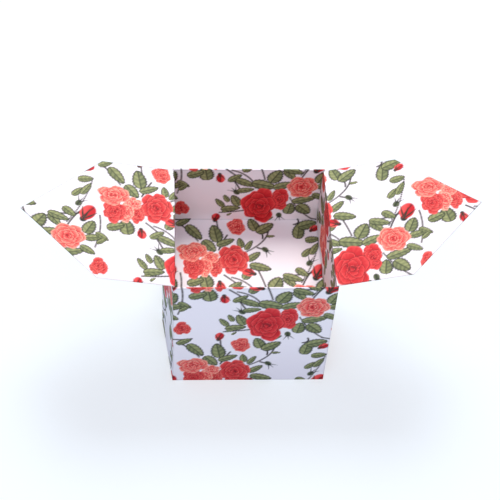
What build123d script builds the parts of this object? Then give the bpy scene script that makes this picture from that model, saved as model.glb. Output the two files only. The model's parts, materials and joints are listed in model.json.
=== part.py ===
from build123d import *
import math
import os

# Folded paper tray on a hollow square stand, with a hinged wing on each side.
# Frame: origin at the middle of the foot, +X to the right wing, -Y the front, +Z up.

# Overall sizes, mm. The sheet is a square, four floor widths on a side.
box_width = 52.5
box_depth = 52.5
box_height = 52.5
tray_depth = 26.25

# Paper: one ply, and how many lie together in a wall and in a wing.
ply = 0.1
wall_plies = 2
wing_plies = 4

# Folds: the air left inside a doubled wall, and the centre-line radii of a crease and of a corner.
fold_air = 0.2
crease_radius = 0.3
corner_bend = 0.6

# Side panels: turned in from the front and back walls and left a little ajar.
panel_gap = 1.2
panel_drop = 0.6
left_flare = 8.0
right_flare = 10.0

# Wings: a straight stretch, then a point with square sides. Rise is above level.
wing_straight = 25.2
wing_side_gap = 0.3
wing_seam = 0.4
left_rise = 10.0
right_rise = 14.0
hinge_clearance = 0.05

# Values that follow from the sizes above.
wall = wall_plies * ply
wing = wing_plies * ply
turn = (wall + fold_air) / 2
inner_y = box_depth / 2 + wall / 2
outer_y = inner_y + 2 * turn
inner_x = box_width / 2 + wall / 2
outer_x = inner_x + wall + fold_air
floor_z = box_height - tray_depth - wall / 2
spring_z = box_height - wall / 2 - turn
panel_top = box_height - panel_drop
hinge_z = box_height - wing / 2
side_wall_top = hinge_z - wing / 2 - hinge_clearance
wing_half = box_depth / 2 - wing_side_gap
outer_crease = crease_radius + wall / 2
inner_crease = crease_radius - wall / 2


def tray():
    """The tray: its floor at mid-height and four inner walls, one sheet with sharp creases."""
    height = spring_z - floor_z + wall / 2
    base = (Align.CENTER, Align.CENTER, Align.MIN)
    skin = Pos(0, 0, floor_z - wall / 2) * Box(2 * inner_x + wall, 2 * inner_y + wall, height, align=base)
    hollow = Pos(0, 0, floor_z + wall / 2) * Box(box_width, box_depth, height, align=base)
    skin = fillet(skin.faces().sort_by(Axis.Z)[0].edges() + skin.edges().filter_by(Axis.Z), outer_crease)
    hollow = fillet(hollow.faces().sort_by(Axis.Z)[0].edges() + hollow.edges().filter_by(Axis.Z), inner_crease)
    notch = Pos(0, 0, side_wall_top) * Box(2 * outer_x, box_depth, box_height, align=base)
    return skin - hollow - notch


def rim_fold(side):
    """The turn over the rim, from the inner wall to the outer one. side is -1 front, +1 back."""
    reach = turn + wall / 2
    ring = Circle(reach) - Circle(turn - wall / 2)
    upper_half = Pos(0, reach / 2) * Rectangle(2 * reach, reach)
    leg_length = spring_z - panel_top
    leg = Pos(side * turn, -leg_length / 2) * Rectangle(wall, leg_length)
    section = ring & upper_half
    section += leg
    return extrude(Plane.YZ * Pos(side * (inner_y + turn), spring_z) * section, box_width / 2 - crease_radius, both=True)


def free_edge(x_side, y_side, flare):
    """Where a side panel ends, near the middle of the box's side."""
    run = outer_y - panel_gap / 2
    return (x_side * (outer_x + run * math.tan(math.radians(flare))), y_side * panel_gap / 2)


def outer_band(side):
    """One outer wall with the two side panels that turn from it, standing on the raw edge."""
    line = FilletPolyline(
        free_edge(-1, side, left_flare),
        (-outer_x, side * outer_y),
        (outer_x, side * outer_y),
        free_edge(1, side, right_flare),
        radius=corner_bend,
    )
    return extrude(trace(line, wall), panel_top)


def folded_box():
    box = tray()
    for side in (-1, 1):
        box += rim_fold(side)
        box += outer_band(side)
    return box


def flat_wing():
    """A wing lying level along +X with its hinge crease on the Y axis."""
    tip = wing_straight + wing_half
    outline = Polyline(
        (0, -wing_half),
        (wing_straight, -wing_half),
        (tip, 0),
        (wing_straight, wing_half),
        (0, wing_half),
        close=True,
    )
    leaf = extrude(make_face(outline), wing / 2, both=True)
    seam = Pos(tip / 2, 0, -wing / 2) * Box(2 * tip, wing_seam, wing)
    bead = Rot(90, 0, 0) * Cylinder(wing / 2, 2 * wing_half)
    return leaf - seam + bead


def hinged(side, rise):
    """The wing on its crease at the rim, lifted by rise. side is -1 left, +1 right."""
    piece = Rot(0, -rise, 0) * flat_wing()
    if side < 0:
        piece = mirror(piece, Plane.YZ)
    return Pos(side * inner_x, 0, hinge_z) * piece


os.makedirs("parts", exist_ok=True)
nodes = {
    "folded_box": folded_box(),
    "left_wing": hinged(-1, left_rise),
    "right_wing": hinged(1, right_rise),
}
for name, shape in nodes.items():
    export_step(shape, f"parts/{name}.step")
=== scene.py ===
# %% [markdown]
# # An origami box with wings
# The real object is one square of printed paper, folded into a tray on a hollow stand. A pointed wing
# lies out from the left and the right rim. Paper has hardly any thickness, so the look is all in the
# flat faces, the creases between them and the print. So every face here is a fine grid of points,
# and each point knows its place on the flat sheet. The print is painted at those places, which makes
# it run on over every fold, as it does on real folded paper.

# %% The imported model
import json
import math

import bpy
import numpy as np
from mathutils import Matrix, Vector


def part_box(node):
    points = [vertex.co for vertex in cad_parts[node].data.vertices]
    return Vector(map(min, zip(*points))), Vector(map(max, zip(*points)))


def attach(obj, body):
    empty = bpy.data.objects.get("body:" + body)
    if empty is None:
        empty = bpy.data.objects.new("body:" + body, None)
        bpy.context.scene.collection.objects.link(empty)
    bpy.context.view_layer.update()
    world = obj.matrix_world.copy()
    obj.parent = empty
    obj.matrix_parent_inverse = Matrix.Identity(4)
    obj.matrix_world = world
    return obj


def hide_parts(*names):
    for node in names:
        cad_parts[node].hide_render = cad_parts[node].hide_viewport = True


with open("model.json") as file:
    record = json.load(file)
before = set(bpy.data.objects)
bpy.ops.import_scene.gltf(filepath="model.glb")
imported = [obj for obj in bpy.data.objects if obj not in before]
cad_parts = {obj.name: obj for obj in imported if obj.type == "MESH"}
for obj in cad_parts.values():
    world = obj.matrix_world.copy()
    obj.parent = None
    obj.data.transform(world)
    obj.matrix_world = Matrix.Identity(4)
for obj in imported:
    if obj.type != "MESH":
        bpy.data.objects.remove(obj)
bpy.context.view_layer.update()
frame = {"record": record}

# %% [markdown]
# ## Sizes
# All lengths below are millimetres, and MM turns them into metres at the end. The overall sizes are
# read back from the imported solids: the hinge creases give the tray's width, and the box's own
# corners give its depth and height. The rim is a fold, so it is a small half circle.

# %% Sizes
MM = 0.001
box_low, box_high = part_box("folded_box")
joints = {joint["name"]: joint for joint in frame["record"]["behaviour"]["joints"]}
hinge = Vector(joints["right_wing_crease"]["pos_m"]) / MM
print("the wings swing on", sorted(joints))

WALL = 0.2
RIM_RADIUS = 0.3
HEIGHT = box_high.z / MM
FLOOR_TOP = HEIGHT / 2
HALF_WIDTH = hinge.x - WALL / 2
HALF_DEPTH = box_high.y / MM - 2 * RIM_RADIUS
SPRING = HEIGHT - RIM_RADIUS
CORNER_X = HALF_WIDTH + 2 * RIM_RADIUS
CORNER_Y = HALF_DEPTH + 2 * RIM_RADIUS
print(f"tray {2 * HALF_WIDTH:.1f} by {2 * HALF_DEPTH:.1f} mm, floor at {FLOOR_TOP:.2f}, rim at {HEIGHT:.1f}")

# %% [markdown]
# The side panels turn from the front and back walls and stand ajar. They end a little below the rim
# and leave a gap at the middle of the side. The wings are four plies thick: a straight stretch,
# then a point with square sides, so the point is as long as half the wing's width.

# %% Panels and wings
PANEL_TOP = HEIGHT - 0.6
PANEL_GAP = 1.2
PANEL_INSET = 0.05
LEFT_FREE_X = -box_low.x / MM
RIGHT_FREE_X = box_high.x / MM

WING_THICK = 0.4
WING_STRAIGHT = 25.2
WING_HALF = HALF_DEPTH - 0.3
WING_LENGTH = WING_STRAIGHT + WING_HALF
WING_DIP = 0.25
WING_RISE = {"left": 10.0, "right": 14.0}
HINGE_CLEARANCE = 0.05
print(f"each wing is {WING_LENGTH:.1f} mm from crease to point")

# %% [markdown]
# ## The print
# The paper is a chintz: roses, buds, leaves and stems on white, repeated every TILE in both
# directions. It could be one node tree, but a few dozen motifs with petals of their own make a heavy
# tree. Painted once at the vertices it costs next to nothing to render. Each row of the lists below
# is one motif. Places and lengths are shares of the tile, measured from the big red rose. SHIFT says
# which part of the tile the middle of the tray floor shows.

# %% Where the motifs lie
TILE = 53.5
SHIFT = (-0.089, -0.595)

# place p, place q, lean in degrees, length, width
LEAVES = [
    (-0.371, 0.350, 100, 0.130, 0.100), (-0.180, 0.310, 35, 0.110, 0.052),
    (-0.108, 0.265, -25, 0.150, 0.062), (0.015, 0.245, -15, 0.170, 0.090),
    (0.090, 0.325, 60, 0.130, 0.100), (0.183, 0.345, -50, 0.120, 0.062),
    (0.143, 0.240, 20, 0.140, 0.070), (0.295, 0.100, 15, 0.170, 0.068),
    (0.300, 0.005, -45, 0.125, 0.095), (0.203, 0.010, 80, 0.115, 0.085),
    (-0.105, 0.195, 10, 0.120, 0.050), (-0.230, 0.113, 115, 0.080, 0.040),
    (-0.272, 0.068, 125, 0.100, 0.046), (-0.165, 0.092, 115, 0.120, 0.070),
    (-0.198, 0.012, 8, 0.135, 0.062), (-0.235, -0.022, 10, 0.050, 0.020),
    (-0.205, -0.048, 40, 0.045, 0.020), (-0.299, -0.235, 100, 0.160, 0.095),
    (-0.040, -0.155, 110, 0.120, 0.080), (0.040, -0.185, 35, 0.145, 0.080),
    (0.058, -0.100, 30, 0.100, 0.036), (0.076, -0.259, 5, 0.060, 0.025),
    (0.270, -0.210, 80, 0.145, 0.085), (0.334, -0.150, 20, 0.140, 0.085),
    (0.358, -0.286, 12, 0.105, 0.060), (-0.446, -0.222, -52, 0.165, 0.080),
    (-0.345, -0.345, -50, 0.130, 0.080), (-0.235, -0.315, 25, 0.135, 0.060),
    (-0.132, -0.320, 100, 0.090, 0.052), (-0.077, -0.340, 60, 0.100, 0.042),
    (-0.048, -0.440, 40, 0.120, 0.055), (-0.008, -0.532, -15, 0.150, 0.070),
    (-0.095, -0.590, 60, 0.110, 0.062), (0.312, -0.402, 50, 0.100, 0.048),
    (0.366, -0.370, 60, 0.120, 0.048), (0.268, -0.575, -40, 0.105, 0.060),
    (0.205, -0.622, -20, 0.145, 0.060), (-0.440, -0.655, 20, 0.120, 0.070),
    (0.400, 0.315, 65, 0.120, 0.085), (0.425, 0.233, 10, 0.110, 0.060),
    (0.480, 0.250, -35, 0.100, 0.045), (-0.520, 0.215, 40, 0.085, 0.035),
    (-0.520, -0.130, 30, 0.110, 0.055), (0.395, 0.130, -30, 0.110, 0.055),
]

# place p, place q, size, redness from cream at 0 to red at 1, seed, stretch along p
ROSES = [
    (0.000, 0.040, 0.160, 1.00, 1.0, 0.76),
    (0.125, 0.105, 0.100, 0.95, 2.3, 0.72),
    (0.275, 0.225, 0.100, 0.35, 3.1, 1.00),
    (-0.462, -0.395, 0.082, 0.30, 4.7, 1.25),
    (-0.452, -0.530, 0.092, 0.85, 5.9, 0.78),
    (-0.372, -0.530, 0.085, 0.05, 2.9, 0.50),
    (-0.335, -0.445, 0.050, 0.10, 1.7, 1.10),
    (-0.315, -0.530, 0.085, 0.75, 7.7, 0.62),
    (-0.188, -0.465, 0.125, 0.90, 6.4, 0.82),
    (-0.155, -0.172, 0.072, 0.60, 8.2, 0.88),
    (0.468, 0.010, 0.068, 0.80, 9.6, 0.80),
]

# place p, place q, lean in degrees, size
BUDS = [
    (-0.295, -0.078, 80, 0.045), (-0.275, 0.305, -80, 0.045), (0.385, -0.565, 65, 0.075),
    (0.380, -0.185, 40, 0.040), (-0.090, 0.425, 160, 0.050),
]

# place p, place q, lean in degrees
CALYX_SIZE = 0.035
CALYXES = [(-0.163, 0.175, 130), (0.137, -0.056, -80), (0.032, -0.378, -50), (0.323, -0.496, 60)]

# start, the point that bends it, end
STEMS = [
    ((-0.20, 0.38), (-0.08, 0.35), (-0.03, 0.22)), ((-0.05, 0.50), (-0.01, 0.42), (0.02, 0.30)),
    ((0.20, 0.12), (0.27, -0.02), (0.36, -0.09)), ((0.36, -0.09), (0.45, -0.12), (0.53, -0.10)),
    ((0.26, 0.30), (0.30, 0.40), (0.34, 0.44)), ((-0.27, -0.03), (-0.15, -0.02), (-0.07, 0.00)),
    ((-0.29, -0.10), (-0.28, -0.22), (-0.27, -0.36)), ((0.06, -0.22), (0.04, -0.32), (-0.10, -0.40)),
    ((-0.02, -0.22), (0.03, -0.22), (0.02, -0.28)), ((0.27, -0.10), (0.29, -0.14), (0.24, -0.15)),
    ((0.40, -0.30), (0.36, -0.50), (0.26, -0.66)), ((0.36, -0.57), (0.28, -0.60), (0.18, -0.60)),
    ((-0.25, -0.60), (-0.18, -0.66), (-0.12, -0.72)), ((-0.56, -0.14), (-0.50, -0.17), (-0.42, -0.30)),
    ((-0.14, 0.20), (-0.17, 0.26), (-0.20, 0.31)), ((0.44, 0.16), (0.48, 0.30), (0.46, 0.42)),
    ((-0.02, -0.36), (0.00, -0.37), (0.03, -0.38)), ((-0.22, -0.25), (-0.25, -0.30), (-0.28, -0.38)),
]
print(len(LEAVES), "leaves,", len(ROSES), "roses,", len(BUDS), "buds,", len(STEMS), "stems a tile")

# %% [markdown]
# Inks are written as screen colours, because that is how an eye reads them. Light adds up in linear
# values, so each ink is turned linear before anything is mixed.


# %% Inks
def linear(colour):
    """The screen colour as linear light, by the usual 2.2 power."""
    return np.asarray(colour, float) ** 2.2


PAPER = linear((0.925, 0.905, 0.915))
STEM = linear((0.20, 0.17, 0.15))
LEAF_DARK = linear((0.15, 0.17, 0.13))
LEAF_MID = linear((0.32, 0.36, 0.24))
LEAF_PALE = linear((0.58, 0.60, 0.40))
RED_DARK = linear((0.42, 0.02, 0.08))
RED = linear((0.75, 0.06, 0.12))
CORAL = linear((0.92, 0.30, 0.29))
CREAM = linear((0.98, 0.82, 0.70))

# %% [markdown]
# ### Drawing helpers
# A shape is a number at every point that is above 0 inside the shape. cover turns that number into
# an amount of ink with a soft edge, and laid_on mixes the ink in. close_by picks only the points
# near a motif, so that a motif costs no more than the few points that it touches.


# %% Helpers that draw on whole arrays
def cover(inside, soft):
    """1 where inside is above soft, 0 below minus soft, and a straight ramp between."""
    return np.clip(0.5 + inside / (2 * soft), 0, 1)


def laid_on(base, colour, amount):
    """The colour laid over base by amount, from 0 to 1."""
    return base + (colour - base) * amount[..., None]


def filled(colour, like):
    """One colour at every point of like."""
    return np.broadcast_to(colour, like.shape + (3,))


def close_by(p, q, centre_p, centre_q, reach):
    """Offsets to a motif's nearest repeat for the points within reach, and which points they are."""
    dp, dq = p - centre_p, q - centre_q
    dp, dq = dp - np.round(dp), dq - np.round(dq)
    spot = (np.abs(dp) < reach) & (np.abs(dq) < reach)
    return dp[spot], dq[spot], spot


def turned(dp, dq, lean):
    """Offsets along and across a direction that leans by so many degrees from +p."""
    c, s = math.cos(math.radians(lean)), math.sin(math.radians(lean))
    return dp * c + dq * s, dq * c - dp * s


# %% [markdown]
# ### Leaves and stems
# A leaf is an almond: its half width is the root of 1 - x squared, fuller towards the stalk, with a
# fine sine for the teeth. Side veins slant back from the midrib, and one half is paler than the
# other, as if light fell across it. A stem is the set of points near a three-point curve.


# %% Leaf and stem
LEAF_TAPER, LEAF_TOOTH, LEAF_TEETH = 0.22, 0.05, 21
VEINS_ALONG, VEINS_BACK = 13, 5
STEM_HALF, STEM_SOFT = 0.0062, 0.003


def paint_leaf(ink, p, q, centre_p, centre_q, lean, length, width):
    """x runs from -1 to 1 along the leaf and y across it. Inside is where |y| is under the almond."""
    dp, dq, spot = close_by(p, q, centre_p, centre_q, length * 0.6)
    along, across = turned(dp, dq, lean)
    x, y = along / (length / 2), across / (width / 2)
    teeth = LEAF_TOOTH * np.sin(x * LEAF_TEETH)
    almond = np.sqrt(np.clip(1 - x * x, 0, 1)) * (1 - LEAF_TAPER * x) + teeth
    edge = np.where(np.abs(x) < 1, almond - np.abs(y), -1)
    veins = 0.5 + 0.5 * np.sin(x * VEINS_ALONG - np.abs(y) * VEINS_BACK)
    pale = np.clip(0.35 + 0.21 * np.sign(y) + 0.45 * veins * (np.abs(y) > 0.1), 0, 1)
    fill = laid_on(filled(LEAF_MID, x), LEAF_PALE, pale)
    fill = laid_on(fill, LEAF_DARK, cover(0.22 - edge, 0.12))
    fill = laid_on(fill, LEAF_DARK, 0.8 * cover(0.07 - np.abs(y), 0.06))
    ink[spot] = laid_on(ink[spot], fill, cover(edge, 0.09))


def paint_stem(ink, p, q, start, bend, end):
    """A thin curved line: every point whose nearest place on the curve is under half the stem away."""
    middle = [(a + c) / 2 for a, c in zip(start, end)]
    dp, dq, spot = close_by(p, q, *middle, math.dist(start, end) * 0.5 + 0.06)
    near = np.full(dp.shape, 9.0)
    for t in np.linspace(0, 1, 26):
        on = [(1 - t) ** 2 * a + 2 * t * (1 - t) * b + t * t * c for a, b, c in zip(start, bend, end)]
        near = np.minimum(near, np.hypot(dp + middle[0] - on[0], dq + middle[1] - on[1]))
    ink[spot] = laid_on(ink[spot], filled(STEM, near), cover(STEM_HALF - near, STEM_SOFT))


# %% [markdown]
# ### Roses
# An open rose is rings of round petals, big ones outside and small ones in the heart. They are laid
# like tiles, from the outside in, so each covers the roots of the ring before it. A petal is dark at
# its root, where the next one shades it, and pale at its turned rim. Below each petal lies a thin
# dark line, which is what makes the petals read as layers.

# %% Rose
# distance of a petal from the rose's middle, petal radius, petals in the ring
PETAL_RINGS = [(0.60, 0.46, 6), (0.44, 0.40, 5), (0.27, 0.33, 5), (0.13, 0.22, 4), (0.03, 0.12, 2)]


def paint_petal(own, x, y, out, angle, radius, inks, seed, number, first_ring):
    """A round petal, out from the rose's middle. outward is -1 at its root and 1 at its rim."""
    root, middle, light = inks
    c, s = math.cos(angle), math.sin(angle)
    px, py = x - out * c, y - out * s
    outward = (px * c + py * s) / radius
    round_it = np.arctan2(py, px)
    away = np.hypot(px, py) / radius + 0.045 * np.sin(5 * round_it + seed + number)
    tone = np.clip(0.5 + 0.5 * outward, 0, 1)
    streak = 0.5 + 0.5 * np.sin(9 * round_it + seed * 5 + 3 * away)
    fill = laid_on(filled(root, x), middle, np.clip(tone * 2.1 - 0.25, 0, 1))
    fill = laid_on(fill, light, 0.65 * np.clip(tone * 2.6 - 1.55, 0, 1) * (0.55 + 0.45 * streak))
    fill = laid_on(fill, light, 0.75 * cover(0.045 - np.abs(away - 0.93), 0.04) * (outward > -0.3))
    if not first_ring:
        own = laid_on(own, root, 0.75 * cover(0.05 - np.abs(away - 1.03), 0.05))
    return laid_on(own, fill, cover(1 - away, 0.04))


def paint_rose(ink, p, q, centre_p, centre_q, size, red, seed, stretch):
    """Rings of petals, each ring turned by half a petal. The seed varies angles and sizes by sines."""
    dp, dq, spot = close_by(p, q, centre_p, centre_q, size * 1.25 * max(stretch, 1))
    x, y = dp / stretch / size, dq / size
    light = CORAL * red + CREAM * (1 - red)
    middle = RED * red + CORAL * (1 - red)
    root = RED_DARK * (0.35 + 0.65 * red) + RED * 0.65 * (1 - red)
    own = ink[spot]
    for ring, (out, radius, petals) in enumerate(PETAL_RINGS):
        for number in range(petals):
            angle = 2 * math.pi * (number + 0.5 * ring) / petals + seed + 0.35 * math.sin(seed * (number + 2))
            own_radius = radius * (1 + 0.14 * math.sin(seed * 2 + 3.1 * number + ring))
            inks = (root, middle, light)
            own = paint_petal(own, x, y, out, angle, own_radius, inks, seed, number, ring == 0)
    ink[spot] = own


# %% [markdown]
# ### Buds and calyxes
# A closed bud is a red oval that stands in a green cup, held by three narrow sepals. Where the
# petals have gone only the calyx is left: a small green oval with three points.


# %% Bud and calyx
def paint_bud(ink, p, q, centre_p, centre_q, lean, size):
    """An oval with a pale half and one dark petal line, a round cup behind it and sepals over it."""
    dp, dq, spot = close_by(p, q, centre_p, centre_q, size * 1.7)
    along, across = turned(dp, dq, lean)
    x, y = along / size, across / size
    own = laid_on(ink[spot], LEAF_DARK, cover(0.42 - np.hypot(x + 0.75, y * 1.3), 0.06))
    fill = laid_on(filled(RED, x), CORAL, cover(y - 0.1, 0.2))
    fill = laid_on(fill, RED_DARK, cover(0.06 - np.abs(y + 0.25 * x), 0.05))
    own = laid_on(own, fill, cover(1 - np.hypot(x * 1.15, y * 1.55), 0.08))
    for fan in (-0.55, 0.0, 0.55):
        sepal = 0.10 - np.abs(y - fan * (x + 0.9)) - 0.10 * np.abs(x + 0.35)
        own = laid_on(own, LEAF_DARK, cover(np.where(np.abs(x + 0.35) < 0.75, sepal, -1), 0.05))
    ink[spot] = own


def paint_calyx(ink, p, q, centre_p, centre_q, lean):
    """A small oval with a dark line along it, and three points that fan from its end."""
    dp, dq, spot = close_by(p, q, centre_p, centre_q, CALYX_SIZE * 2)
    along, across = turned(dp, dq, lean)
    x, y = along / CALYX_SIZE, across / CALYX_SIZE
    own = laid_on(ink[spot], LEAF_MID, cover(0.75 - np.hypot(x, y * 1.3), 0.1))
    own = laid_on(own, LEAF_DARK, 0.8 * cover(0.2 - np.abs(y), 0.12) * (np.abs(x) < 0.6))
    for fan in (-0.7, 0.0, 0.7):
        point = 0.22 - np.abs(y - fan * (x - 0.2)) - 0.12 * x
        own = laid_on(own, LEAF_DARK, cover(np.where((x > 0.4) & (x < 1.7), point, -1), 0.08))
    ink[spot] = own


# %% The whole print
def rose_print(u, v):
    """The print's linear colour at sheet places u, v, in millimetres from the floor's middle."""
    p = u / TILE + SHIFT[0]
    q = v / TILE + SHIFT[1]
    ink = filled(PAPER, p).copy()
    motifs = [(paint_stem, STEMS), (paint_leaf, LEAVES), (paint_calyx, CALYXES), (paint_bud, BUDS)]
    for paint, places in motifs + [(paint_rose, ROSES[::-1])]:
        for place in places:
            paint(ink, p, q, *place)
    return ink


# %% [markdown]
# ## Paper as a material
# Printed paper is matt with a faint, uneven sheen. Two bumps carry what is too small to model: the
# fibres, and the slow swell of a sheet that has been handled. The ink comes from the vertices. The
# two classes here let shader maths be written as Python: Wires adds a node in one call, and Value
# turns + and * on sockets into Math nodes.


# %% Node helpers
class Value:
    """A number socket that can be added and multiplied like a number."""

    def __init__(self, wires, socket):
        self.wires, self.socket = wires, socket

    def maths(self, operation, other):
        made = self.wires.node("ShaderNodeMath", {"operation": operation}, {0: self, 1: other})
        return Value(self.wires, made.outputs[0])

    def __mul__(self, other):
        return self.maths("MULTIPLY", other)

    def __add__(self, other):
        return self.maths("ADD", other)

    __rmul__, __radd__ = __mul__, __add__


class Wires:
    """Adds nodes to one tree: the type, the settings, then the values or links of its sockets."""

    def __init__(self, tree):
        self.tree = tree

    def node(self, kind, settings=None, sockets=None):
        made = self.tree.nodes.new(kind)
        for name, value in (settings or {}).items():
            setattr(made, name, value)
        self.feed(made, sockets or {})
        return made

    def feed(self, node, sockets):
        for name, value in sockets.items():
            if isinstance(value, Value):
                value = value.socket
            if isinstance(value, bpy.types.NodeSocket):
                self.tree.links.new(value, node.inputs[name])
            else:
                node.inputs[name].default_value = value

    def value(self, socket):
        return Value(self, socket)


# %% Printed paper
ROUGH_LOW, ROUGH_SPAN = 0.55, 0.20
PAPER_GLOSS = 0.3
FIBRES = {"Scale": 2200, "Detail": 3}
SWELL = {"Scale": 45, "Detail": 1}
FIBRE_BUMP = {"Strength": 0.12, "Distance": 0.00004}
SWELL_BUMP = {"Strength": 0.35, "Distance": 0.0006}


def printed_paper():
    """Roughness is ROUGH_LOW plus ROUGH_SPAN times the swell. The swell's bump rides on the fibres'."""
    material = bpy.data.materials.new("printed_paper_look")
    material.use_nodes = True
    wires = Wires(material.node_tree)
    ink = wires.node("ShaderNodeAttribute", {"attribute_name": "ink"})
    place = wires.node("ShaderNodeTexCoord").outputs["Object"]
    fibres = wires.node("ShaderNodeTexNoise", {}, {**FIBRES, "Vector": place}).outputs["Fac"]
    swell = wires.node("ShaderNodeTexNoise", {}, {**SWELL, "Vector": place}).outputs["Fac"]
    fine = wires.node("ShaderNodeBump", {}, {**FIBRE_BUMP, "Height": fibres}).outputs["Normal"]
    broad = wires.node("ShaderNodeBump", {}, {**SWELL_BUMP, "Height": swell, "Normal": fine})
    look = {
        "Base Color": ink.outputs["Color"],
        "Roughness": ROUGH_LOW + ROUGH_SPAN * wires.value(swell),
        "Normal": broad.outputs["Normal"],
        "Specular IOR Level": PAPER_GLOSS,
    }
    wires.feed(material.node_tree.nodes["Principled BSDF"], look)
    print(f"{material.name}: {len(material.node_tree.nodes)} nodes")
    return material


paper_look = printed_paper()

# %% [markdown]
# ## Paper as a mesh
# A crease in paper is sharp, so faces don't share vertices there, and each is smooth on its own.
# The printed side needs a vertex every STEP to hold the print. The plain side behind it has nothing
# to show and can be coarse. A face that has been folded is never quite flat: bow lets it belly by a
# fraction of a millimetre. Shade is painted into the ink along creases and folded edges, so they read a
# little darker.

# %% Paper mesh
STEP = 0.3
BACK_STEP = 3.0
# painted shade: how much the print is darkened along creases and along the wings' folded edges, and over what
# reach
CREASE_SHADE, CREASE_REACH = 0.22, 0.35
WING_EDGE_SHADE, EDGE_REACH = 0.42, 0.32


def painted_edge_shade(ink, distance, amount, reach):
    """Painted shade: ink darkened by amount at an edge. The darkening falls off as a bell over reach."""
    return ink * (1 - amount * np.exp(-((distance / reach) ** 2)))[..., None]


class Paper:
    """Gathers grids of points into one mesh with a colour at each vertex."""

    def __init__(self):
        self.points, self.colours, self.quads, self.count = [], [], [], 0

    def grid(self, places, colours, flip=False):
        """Four-sided faces between neighbours of a rows by columns grid. flip turns them over."""
        rows, columns = places.shape[:2]
        index = np.arange(rows * columns).reshape(rows, columns) + self.count
        quads = np.stack([index[:-1, :-1], index[1:, :-1], index[1:, 1:], index[:-1, 1:]], -1)
        quads = quads.reshape(-1, 4)
        self.quads.append(quads[:, ::-1] if flip else quads)
        self.points.append(places.reshape(-1, 3))
        self.colours.append(colours.reshape(-1, 3))
        self.count += rows * columns

    def face(self, corner, along, across, sheet, sheet_along, sheet_across, bow):
        """corner + a along + b across, plus bow times 16 a(1-a) b(1-b) towards the printed side.
        sheet, sheet_along and sheet_across say the same of the flat sheet."""
        corner, along, across = (np.asarray(value, float) for value in (corner, along, across))
        lengths = np.linalg.norm(along), np.linalg.norm(across)
        normal = np.cross(along, across)
        normal /= np.linalg.norm(normal)
        for printed, step in ((True, STEP), (False, BACK_STEP)):
            rows, columns = (max(2, int(length / step) + 1) for length in lengths)
            a, b = np.meshgrid(np.linspace(0, 1, rows), np.linspace(0, 1, columns), indexing="ij")
            places = corner + a[..., None] * along + b[..., None] * across
            rise = bow * 16 * a * (1 - a) * b * (1 - b) - (0 if printed else WALL)
            places = places + rise[..., None] * normal
            colours = filled(PAPER, a)
            if printed:
                u = sheet[0] + a * sheet_along[0] + b * sheet_across[0]
                v = sheet[1] + a * sheet_along[1] + b * sheet_across[1]
                edge = np.minimum(np.minimum(a, 1 - a) * lengths[0], np.minimum(b, 1 - b) * lengths[1])
                # painted shade: the print is made darker near each face's edges, where the creases are
                colours = painted_edge_shade(rose_print(u, v), edge, CREASE_SHADE, CREASE_REACH)
            self.grid(places, colours, flip=not printed)

    def build(self, name, body, *nodes):
        """The mesh as an object that rides on body and stands for the named solids."""
        mesh = bpy.data.meshes.new(name)
        points = np.concatenate(self.points) * MM
        quads = np.concatenate(self.quads)
        mesh.vertices.add(len(points))
        mesh.vertices.foreach_set("co", points.ravel())
        mesh.loops.add(quads.size)
        mesh.loops.foreach_set("vertex_index", quads.ravel())
        mesh.polygons.add(len(quads))
        mesh.polygons.foreach_set("loop_start", np.arange(len(quads)) * 4)
        mesh.update(calc_edges=True)
        mesh.validate()
        mesh.polygons.foreach_set("use_smooth", np.ones(len(mesh.polygons), bool))
        colours = np.concatenate(self.colours)
        layer = mesh.color_attributes.new("ink", "FLOAT_COLOR", "POINT")
        layer.data.foreach_set("color", np.c_[colours, np.ones(len(colours))].ravel())
        mesh.materials.append(paper_look)
        piece = bpy.data.objects.new(name, mesh)
        bpy.context.scene.collection.objects.link(piece)
        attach(piece, body)
        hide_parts(*nodes)
        print(f"{name}: {len(points)} vertices, {2 * len(quads)} triangles")
        return piece


# %% [markdown]
# ## The tray
# The floor lies at mid-height, and the four inner walls rise from its edges. On the flat sheet a
# wall is simply the strip beyond the floor's edge, so sheet places go on outward as the wall goes up.
# In front and behind, the sheet turns over the rim through half a circle.


# %% Tray floor, inner walls and rims
FLOOR_BOW, WALL_BOW, SIDE_BOW = 0.15, 0.3, 0.2
RIM_ROWS = 9


def tray_wall(paper, foot, along, sheet_out, height, bow):
    """An inner wall. foot is its corner on the floor and on the sheet, sheet_out its way outward."""
    start = (*foot, FLOOR_TOP)
    out = [way * height for way in sheet_out]
    paper.face(start, (*along, 0), (0, 0, height), foot, along, out, bow)


def rim(paper, way):
    """Half a circle of RIM_RADIUS from the inner wall to the outer. way is -1 in front, 1 behind."""
    columns = int(2 * CORNER_X / STEP) + 1
    x, turn = np.meshgrid(np.linspace(-CORNER_X, CORNER_X, columns), np.linspace(0, math.pi, RIM_ROWS))
    y = way * (HALF_DEPTH + RIM_RADIUS - RIM_RADIUS * np.cos(turn))
    z = SPRING + RIM_RADIUS * np.sin(turn)
    v = way * (HALF_DEPTH + SPRING - FLOOR_TOP + RIM_RADIUS * turn)
    paper.grid(np.stack([x, y, z], -1), rose_print(x, v), flip=way > 0)


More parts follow.
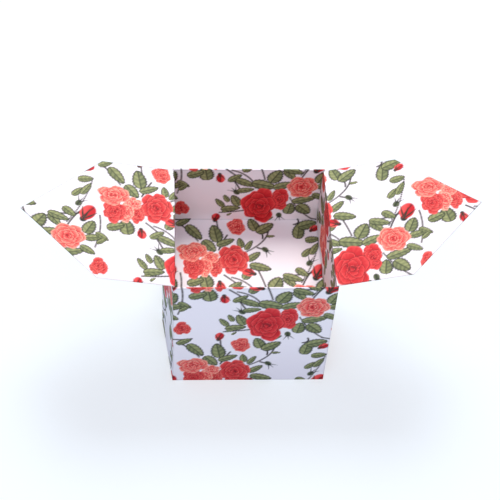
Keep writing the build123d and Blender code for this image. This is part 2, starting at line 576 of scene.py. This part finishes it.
def tray():
    """The floor, then the back, front, left and right inner walls, then both rims."""
    paper = Paper()
    width, depth = 2 * HALF_WIDTH, 2 * HALF_DEPTH
    front_left, front_right = (-HALF_WIDTH, -HALF_DEPTH), (HALF_WIDTH, -HALF_DEPTH)
    back_left, back_right = (-HALF_WIDTH, HALF_DEPTH), (HALF_WIDTH, HALF_DEPTH)
    high = SPRING - FLOOR_TOP
    side_high = HEIGHT - WING_THICK - HINGE_CLEARANCE - FLOOR_TOP
    paper.face(
        (*front_left, FLOOR_TOP), (width, 0, 0), (0, depth, 0),
        front_left, (width, 0), (0, depth), FLOOR_BOW,
    )
    tray_wall(paper, back_left, (width, 0), (0, 1), high, WALL_BOW)
    tray_wall(paper, front_right, (-width, 0), (0, -1), high, WALL_BOW)
    tray_wall(paper, front_left, (0, depth), (-1, 0), side_high, SIDE_BOW)
    tray_wall(paper, back_right, (0, -depth), (1, 0), side_high, SIDE_BOW)
    for way in (-1, 1):
        rim(paper, way)
    return paper.build("tray_sheet", "box", "folded_box")


tray()

# %% [markdown]
# ## Outer walls and side panels
# From the rim the front and back of the sheet run down to the surface that the box stands on, where
# the sheet's raw edge is the foot. What is wider than the wall turns round the corner as a side
# panel. The panels stand ajar, so each runs from its corner to a free edge that stands further out.


# %% Outer walls
OUTER_BOW, PANEL_BOW = -0.25, -0.3


def outer_wall(name, way):
    """A wall and its two side panels, bowed in a little. way is -1 for the front, 1 for the back."""
    paper = Paper()
    width = 2 * CORNER_X
    rim_v = HALF_DEPTH + (SPRING - FLOOR_TOP) + math.pi * RIM_RADIUS
    foot_v = way * (rim_v + SPRING)
    paper.face(
        (way * CORNER_X, way * CORNER_Y, 0), (-way * width, 0, 0), (0, 0, SPRING),
        (way * CORNER_X, foot_v), (-way * width, 0), (0, -way * SPRING), OUTER_BOW,
    )
    for end, free_x in ((-1, LEFT_FREE_X), (1, RIGHT_FREE_X)):
        free = np.array([end * (free_x - PANEL_INSET), way * PANEL_GAP / 2, 0])
        corner = np.array([end * CORNER_X, way * CORNER_Y, 0])
        reach = np.linalg.norm(free - corner)
        from_corner = end * way < 0
        first, second = (corner, free) if from_corner else (free, corner)
        first_u = end * (CORNER_X if from_corner else CORNER_X + reach)
        run_u = end * (reach if from_corner else -reach)
        paper.face(
            first, second - first, (0, 0, PANEL_TOP),
            (first_u, foot_v), (run_u, 0), (0, -way * PANEL_TOP), PANEL_BOW,
        )
    return paper.build(name, "box")


outer_wall("front_outer_sheet", -1)
outer_wall("back_outer_sheet", 1)

# %% [markdown]
# ## Wings
# A wing is a thick flap of folded plies. Its edges are folds, not cuts, so its section is rounded
# there. Underneath, the two side parts of the flap are folded in and meet at a seam along the
# middle, which shows as a shallow groove. The wing swings on its crease, so it rides on its own body.


# %% Wings
SEAM_DEPTH, SEAM_REACH = 0.12, 0.25
EDGE_ROUNDING = 24


def wing(name, side, body, node):
    """Both sides of a flap. x runs out from the crease, y across by share s of the half width. The
    middle dips by a sine, and the thickness closes at the edges as 1 - s to a high power."""
    paper = Paper()
    way = -1 if side == "left" else 1
    rise = math.radians(WING_RISE[side])
    rows, columns = int(WING_LENGTH / STEP) + 1, int(2 * WING_HALF / STEP) + 1
    x, s = np.meshgrid(np.linspace(0, WING_LENGTH, rows), np.linspace(-1, 1, columns), indexing="ij")
    half = np.minimum(WING_HALF, WING_LENGTH - x)
    y = s * half
    dip = -WING_DIP * np.sin(math.pi * np.clip(x / WING_LENGTH, 0, 1)) * (1 - s * s)
    lift = WING_THICK / 2 * (1 - np.abs(s) ** EDGE_ROUNDING)
    seam = SEAM_DEPTH * np.exp(-((y / SEAM_REACH) ** 2))
    u = way * (HALF_WIDTH + HEIGHT - FLOOR_TOP + x)
    turned_in = np.sign(y) * (2 * WING_HALF - np.abs(y))
    for top, z, v in ((True, dip + lift, y), (False, dip - lift + seam, turned_in)):
        out = np.cos(rise) * x - np.sin(rise) * z
        up = np.sin(rise) * x + np.cos(rise) * z
        places = np.stack([way * (hinge.x + out), y, hinge.z + up], -1)
        # painted shade: the print is made darker towards the wing's folded edges
        ink = painted_edge_shade(rose_print(u, v), (1 - np.abs(s)) * half, WING_EDGE_SHADE, EDGE_REACH)
        paper.grid(places, ink, flip=(way < 0) == top)
    return paper.build(name, body, node)


wing("left_wing_sheet", "left", "wing_left", "left_wing")
wing("right_wing_sheet", "right", "wing_right", "right_wing")

# %% [markdown]
# ## Floor and light
# The key lamp is behind the box and above it, so the tray floor and the wings are bright and the
# front is in soft shade. A weak fill from the front and a bluish surround keep that shade open. What
# the camera sees of the floor is mostly plain white, so that only a pale shadow is left on it.

# %% Studio
FLOOR_HALF = 3.0
FLOOR_COLOUR = (0.72, 0.88, 0.97, 1)
FLOOR_ROUGHNESS = 0.8
FLOOR_WHITENING = 0.6
AIM = Vector((0, 0, 0.04))
SURROUND = (0.84, 0.84, 1.0, 1)
SURROUND_STRENGTH = 0.52


def lay_floor():
    """A pale square. A share of what camera rays see of it is white, and other rays see it as it is."""
    mesh = bpy.data.meshes.new("floor")
    half = FLOOR_HALF
    corners = [(-half, -half, 0), (half, -half, 0), (half, half, 0), (-half, half, 0)]
    mesh.from_pydata(corners, [], [(0, 1, 2, 3)])
    floor = bpy.data.objects.new("floor", mesh)
    bpy.context.scene.collection.objects.link(floor)
    material = bpy.data.materials.new("pale_floor")
    material.use_nodes = True
    wires = Wires(material.node_tree)
    shader = material.node_tree.nodes["Principled BSDF"]
    wires.feed(shader, {"Base Color": FLOOR_COLOUR, "Roughness": FLOOR_ROUGHNESS})
    white = wires.node("ShaderNodeEmission")
    share = FLOOR_WHITENING * wires.value(wires.node("ShaderNodeLightPath").outputs["Is Camera Ray"])
    mix = wires.node("ShaderNodeMixShader", {}, {0: share, 1: shader.outputs[0], 2: white.outputs[0]})
    wires.feed(material.node_tree.nodes["Material Output"], {"Surface": mix.outputs[0]})
    mesh.materials.append(material)


def surround():
    """A bluish world that lights the box, and plain white where the camera looks past the floor."""
    world = bpy.data.worlds.new("studio")
    world.use_nodes = True
    wires = Wires(world.node_tree)
    sky = world.node_tree.nodes["Background"]
    wires.feed(sky, {"Color": SURROUND, "Strength": SURROUND_STRENGTH})
    white = wires.node("ShaderNodeBackground", {}, {"Color": (1, 1, 1, 1)})
    seen = wires.node("ShaderNodeLightPath").outputs["Is Camera Ray"]
    mix = wires.node("ShaderNodeMixShader", {}, {0: seen, 1: sky.outputs[0], 2: white.outputs[0]})
    wires.feed(world.node_tree.nodes["World Output"], {"Surface": mix.outputs[0]})
    bpy.context.scene.world = world


def lamp(name, place, size, watts, colour):
    """A square soft lamp that points at the box."""
    data = bpy.data.lights.new(name, "AREA")
    data.energy, data.size, data.color = watts, size, colour
    light = bpy.data.objects.new(name, data)
    light.location = place
    light.rotation_euler = (Vector(place) - AIM).to_track_quat("Z", "Y").to_euler()
    bpy.context.scene.collection.objects.link(light)


lay_floor()
surround()
lamp("key", (0.03, 0.45, 0.75), 0.40, 6.8, (1.0, 0.98, 0.96))
lamp("fill", (-0.1, -0.65, 0.85), 0.90, 4.6, (0.92, 0.89, 1.0))
print("lit from behind and above, with a fill from the front")

# %% [markdown]
# ## Camera
# A long lens from well above looks down into the tray. Its place is given in tray widths from the
# middle of the foot, so that it goes with the size of the box.

# %% Camera
EYE = Vector((-0.552, -5.091, 6.782))
PITCH, ROLL, YAW = (math.radians(angle) for angle in (49.63, -4.74, 6.14))
LENS = 86.5
SENSOR = 36
CLIP_START = 0.01


def camera():
    """Looks along a direction that is PITCH below level and YAW right of +Y, then rolls about it."""
    ahead = Vector((math.sin(YAW) * math.cos(PITCH), math.cos(YAW) * math.cos(PITCH), -math.sin(PITCH)))
    right = Vector((math.cos(YAW), -math.sin(YAW), 0))
    down = ahead.cross(right)
    across = right * math.cos(ROLL) + down * math.sin(ROLL)
    down = down * math.cos(ROLL) - right * math.sin(ROLL)
    data = bpy.data.cameras.new("camera")
    data.lens = LENS
    data.sensor_width = SENSOR
    data.clip_start = CLIP_START
    rig = bpy.data.objects.new("camera", data)
    turn = Matrix((across, -down, -ahead)).transposed().to_4x4()
    rig.matrix_world = Matrix.Translation(EYE * 2 * HALF_WIDTH * MM) @ turn
    bpy.context.scene.collection.objects.link(rig)
    bpy.context.scene.camera = rig
    print(f"camera {rig.matrix_world.translation.length:.2f} m away with a {LENS} mm lens")


camera()
bpy.context.scene.view_settings.view_transform = "Standard"
